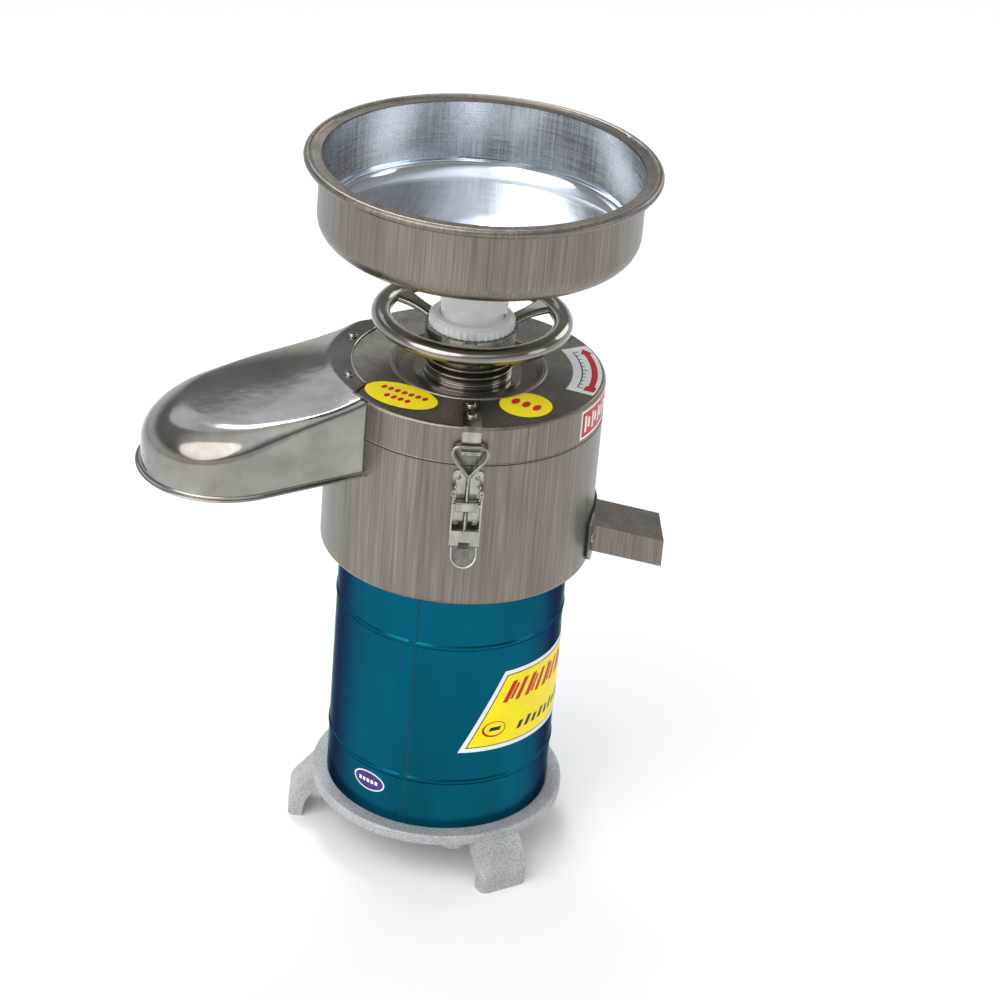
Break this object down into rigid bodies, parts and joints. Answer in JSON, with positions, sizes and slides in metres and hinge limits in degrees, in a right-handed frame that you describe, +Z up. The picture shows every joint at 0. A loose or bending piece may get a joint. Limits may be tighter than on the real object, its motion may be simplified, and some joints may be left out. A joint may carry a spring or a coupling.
{
  "type": "soy milk machine",
  "caption": "Upright soy milk grinder: teal motor casing on a three-legged cast base, steel bowl with latched lid, residue hood, milk spout, handwheel and round feed hopper",
  "frame": {"origin": "on the machine's upright axis, at the level of the floor under the feet", "axes": "+Z up, the residue hood leaves towards -X and a little towards -Y, the milk spout towards +X, the front latch is at -Y and the back latch at +Y"},
  "size_m": [0.4329, 0.2814, 0.6122],
  "materials": {
    "cast_aluminium": "sandblasted casting",
    "casing_enamel": "glossy teal enamel",
    "brushed_stainless": "brushed",
    "polished_stainless": "mirror polished",
    "plain_steel": "machined",
    "lamination_steel": "stamped laminations",
    "copper_wire": "enamelled wire",
    "capacitor_can": "smooth can",
    "black_rubber": "matt",
    "fan_plastic": "moulded",
    "grinding_stone": "coarse bonded grit",
    "white_plastic": "moulded, slightly glossy",
    "spring_wire": "drawn wire"
  },
  "bodies": {
    "housing": {"base_casting": "cast_aluminium", "lower_bearing": "plain_steel", "running_capacitor": "capacitor_can", "capacitor_clip": "plain_steel", "motor_casing": "casing_enamel", "stator_core": "lamination_steel", "stator_windings": "copper_wire", "upper_end_cover": "cast_aluminium", "upper_bearing": "plain_steel", "through_bolts": "plain_steel", "grinding_bowl": "brushed_stainless", "floor_screws": "plain_steel", "shaft_seal": "black_rubber", "residue_baffle": "brushed_stainless", "spout_gasket": "black_rubber", "milk_spout": "brushed_stainless", "spout_screws": "polished_stainless", "lid_gasket": "black_rubber", "lid": "brushed_stainless", "lid_neck": "polished_stainless", "residue_hood": "polished_stainless", "hood_screws": "polished_stainless", "front_strike": "brushed_stainless", "front_strike_screws": "polished_stainless", "front_latch_base": "brushed_stainless", "front_latch_rivets": "polished_stainless", "front_latch_pins": "polished_stainless", "back_strike": "brushed_stainless", "back_strike_screws": "polished_stainless", "back_latch_base": "brushed_stainless", "back_latch_rivets": "polished_stainless", "back_latch_pins": "polished_stainless"},
    "spindle": {"motor_shaft": "plain_steel", "rotor": "lamination_steel", "cooling_fan": "fan_plastic", "dial_plate": "cast_aluminium", "filter_basket": "brushed_stainless", "lower_stone": "grinding_stone", "stone_washer": "plain_steel", "spindle_nut": "plain_steel"},
    "adjusting_wheel": {"handwheel": "polished_stainless"},
    "stone_carrier": {"stone_sleeve": "plain_steel", "upper_stone": "grinding_stone", "pressure_spring": "spring_wire"},
    "union_nut": {"knurled_nut": "white_plastic"},
    "feed_hopper": {"hopper": "brushed_stainless", "hopper_socket": "white_plastic"},
    "front_lever": {"front_latch_lever": "brushed_stainless"},
    "front_hook": {"front_hook_block": "polished_stainless", "front_wire_hook": "polished_stainless"},
    "back_lever": {"back_latch_lever": "brushed_stainless"},
    "back_hook": {"back_hook_block": "polished_stainless", "back_wire_hook": "polished_stainless"}
  },
  "joints": [
    {"name": "spindle_turn", "type": "hinge", "parent": "housing", "child": "spindle", "pos_m": [0, 0, 0.3], "axis": [0, 0, 1], "continuous": true},
    {"name": "wheel_turn", "type": "hinge", "parent": "housing", "child": "adjusting_wheel", "pos_m": [0, 0, 0.4665], "axis": [0, 0, 1], "range_deg": [0, 540]},
    {"name": "carrier_lift", "type": "slide", "parent": "housing", "child": "stone_carrier", "axis": [0, 0, 1], "range_m": [0, 0.0031], "deforming": ["pressure_spring"]},
    {"name": "nut_turn", "type": "hinge", "parent": "stone_carrier", "child": "union_nut", "pos_m": [0, 0, 0.4758], "axis": [0, 0, 1], "range_deg": [0, 90]},
    {"name": "hopper_lift", "type": "slide", "parent": "stone_carrier", "child": "feed_hopper", "axis": [0, 0, 1], "range_m": [0, 0.06]},
    {"name": "front_lever_turn", "type": "hinge", "parent": "housing", "child": "front_lever", "pos_m": [0, -0.119, 0.38], "axis": [-1, 0, 0], "range_deg": [0, 90]},
    {"name": "front_hook_turn", "type": "hinge", "parent": "front_lever", "child": "front_hook", "pos_m": [0, -0.1175, 0.3685], "axis": [-1, 0, 0], "range_deg": [-76, 0]},
    {"name": "back_lever_turn", "type": "hinge", "parent": "housing", "child": "back_lever", "pos_m": [0, 0.119, 0.38], "axis": [1, 0, 0], "range_deg": [0, 90]},
    {"name": "back_hook_turn", "type": "hinge", "parent": "back_lever", "child": "back_hook", "pos_m": [0, 0.1175, 0.3685], "axis": [1, 0, 0], "range_deg": [-76, 0]}
  ],
  "couplings": [
    {"joint": "carrier_lift", "follows": "wheel_turn", "m_per_rad": 0.00031831},
    {"joint": "front_hook_turn", "follows": "front_lever_turn", "ratio": -0.84},
    {"joint": "back_hook_turn", "follows": "back_lever_turn", "ratio": -0.84}
  ]
}
